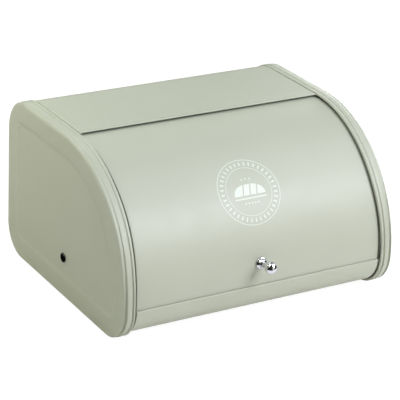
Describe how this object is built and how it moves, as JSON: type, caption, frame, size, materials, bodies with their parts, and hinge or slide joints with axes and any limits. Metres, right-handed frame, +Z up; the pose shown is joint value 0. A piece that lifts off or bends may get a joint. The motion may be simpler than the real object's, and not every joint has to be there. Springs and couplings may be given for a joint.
{
  "type": "bread bin",
  "caption": "Sheet steel bread bin with a curved lid that rolls back under a fixed top, ribbed end panels and a ball knob.",
  "frame": {"origin": "under the middle of the whole object's box, on the surface that the rubber feet stand on", "axes": "+Z up, -Y to the front where the knob is, +X to the right seen from the front; X is the long side and the mirror direction"},
  "size_m": [0.3426, 0.311, 0.193],
  "materials": {
    "sage_paint": "satin sage green powder coat",
    "chrome": "polished chrome plate",
    "dark_steel": "black oxide",
    "plated_steel": "bright zinc plate",
    "nylon": "natural white nylon",
    "rubber": "matte dark grey rubber"
  },
  "bodies": {
    "bin": {"left_end_panel": "sage_paint", "right_end_panel": "sage_paint", "base_and_apron_sheet": "sage_paint", "back_and_top_sheet": "sage_paint", "left_pivot_screw": "dark_steel", "right_pivot_screw": "dark_steel", "left_pivot_bush": "nylon", "right_pivot_bush": "nylon", "left_pivot_washer": "plated_steel", "right_pivot_washer": "plated_steel", "left_pivot_nut": "plated_steel", "right_pivot_nut": "plated_steel", "left_lid_buffer": "rubber", "right_lid_buffer": "rubber", "foot_front_left": "rubber", "foot_front_right": "rubber", "foot_rear_left": "rubber", "foot_rear_right": "rubber"},
    "lid": {"lid_sheet": "sage_paint", "left_lid_arm": "sage_paint", "right_lid_arm": "sage_paint", "left_lid_rivet_1": "plated_steel", "left_lid_rivet_2": "plated_steel", "left_lid_rivet_3": "plated_steel", "right_lid_rivet_1": "plated_steel", "right_lid_rivet_2": "plated_steel", "right_lid_rivet_3": "plated_steel", "knob_ball": "chrome", "knob_collar": "chrome", "knob_washer": "plated_steel", "knob_screw": "plated_steel"}
  },
  "joints": [
    {"name": "lid_hinge", "type": "hinge", "parent": "bin", "child": "lid", "pos_m": [0, 0.01008, 0.0475], "axis": [-1, 0, 0], "range_deg": [0, 79]}
  ]
}
